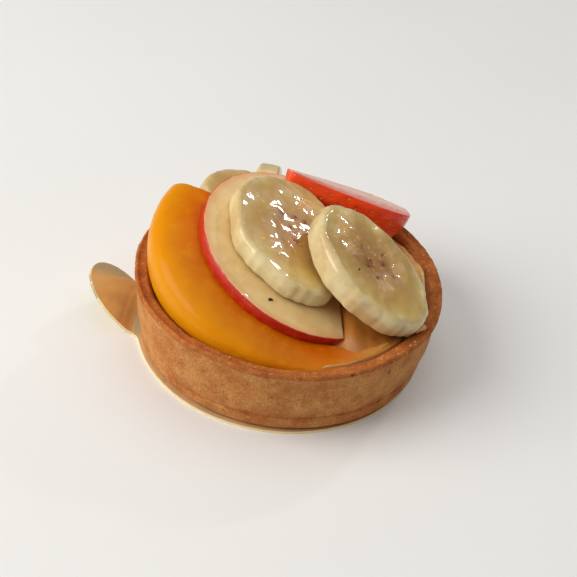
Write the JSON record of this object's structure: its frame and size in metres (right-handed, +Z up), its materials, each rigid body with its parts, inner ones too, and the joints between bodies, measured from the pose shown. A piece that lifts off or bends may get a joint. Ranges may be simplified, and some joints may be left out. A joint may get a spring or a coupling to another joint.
{
  "type": "fruit tart",
  "caption": "Round shortcrust tartlet filled with pastry cream and topped with glazed peach, apple, banana and strawberry, on a gold card with a pull tab.",
  "frame": {"origin": "centre of the tart's underside, on the surface the card lies on", "axes": "+Z up along the tart's axis; the card's pull tab points to -X; the fruit is shingled down towards +X, and -Y is the side it is seen from"},
  "size_m": [0.0923, 0.0802, 0.042],
  "materials": {
    "gold_card": "gold foil on card, satin mirror",
    "shortcrust": "baked shortcrust pastry, matt and fine grained",
    "pastry_cream": "pastry cream under clear glaze",
    "peach_flesh": "peach flesh under clear glaze",
    "apple_flesh": "pale flesh with a red skin edge under clear glaze",
    "banana_flesh": "banana flesh under clear glaze",
    "strawberry_flesh": "strawberry skin and flesh under clear glaze"
  },
  "bodies": {
    "root": {"gold_card": "gold_card", "pastry_shell": "shortcrust", "cream_filling": "pastry_cream", "peach_slice": "peach_flesh", "apple_slice": "apple_flesh", "banana_slice_left": "banana_flesh", "banana_slice_centre": "banana_flesh", "banana_slice_right": "banana_flesh", "banana_slice_back": "banana_flesh", "strawberry_half": "strawberry_flesh"}
  },
  "joints": []
}
